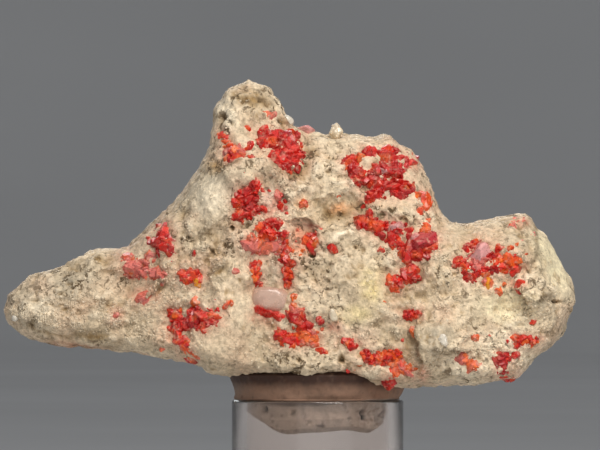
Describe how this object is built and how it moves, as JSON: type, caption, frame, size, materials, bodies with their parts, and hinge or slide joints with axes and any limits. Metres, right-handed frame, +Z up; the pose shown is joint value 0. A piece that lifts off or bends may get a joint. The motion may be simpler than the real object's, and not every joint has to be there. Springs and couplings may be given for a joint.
{
  "type": "calcite and realgar mineral specimen on matrix, held by putty on a clear tube",
  "caption": "Irregular calcite-crusted rock with red realgar crystals, held upright by putty plugged into the mouth of a short clear tube.",
  "frame": {"origin": "centre of the tube's underside, on the surface it stands on", "axes": "+Z up; +X along the rock's long side, towards its rounded right lobe; the crusted face with the crystals looks along -Y"},
  "size_m": [0.0849, 0.0305, 0.0716],
  "materials": {
    "matrix": "cream to grey-beige granular calcite crust over brown-grey host rock, matt with fine glints",
    "realgar": "deep red to orange translucent crystals with a resinous to adamantine lustre",
    "calcite": "white to pinkish translucent crystals, vitreous",
    "putty": "brown-grey mineral mounting putty, matt, thumbed and pitted",
    "clear_acrylic": "clear moulded plastic, glossy, lightly rubbed at the rim"
  },
  "bodies": {
    "root": {"matrix_rock": "matrix", "realgar_summit": "realgar", "realgar_spire_left": "realgar", "realgar_spire_ember": "realgar", "realgar_arm_spike": "realgar", "realgar_arm": "realgar", "realgar_arm_pebble": "realgar", "realgar_lower_left": "realgar", "realgar_ember": "realgar", "realgar_upper_center": "realgar", "realgar_center": "realgar", "realgar_left_leg": "realgar", "realgar_right_leg": "realgar", "realgar_core": "realgar", "realgar_bar": "realgar", "realgar_lower_center": "realgar", "realgar_dart": "realgar", "realgar_lower_right": "realgar", "realgar_foot": "realgar", "realgar_shoulder": "realgar", "realgar_shoulder_crest": "realgar", "realgar_shoulder_tail": "realgar", "realgar_brow": "realgar", "realgar_middle_right": "realgar", "realgar_splinter": "realgar", "realgar_east": "realgar", "realgar_east_sliver": "realgar", "realgar_right_edge": "realgar", "realgar_corner": "realgar", "calcite_lozenge": "calcite", "calcite_ear": "calcite", "calcite_tooth": "calcite", "calcite_pearl": "calcite", "calcite_chip": "calcite", "calcite_flake": "calcite", "mounting_putty": "putty", "display_tube": "clear_acrylic"}
  },
  "joints": []
}
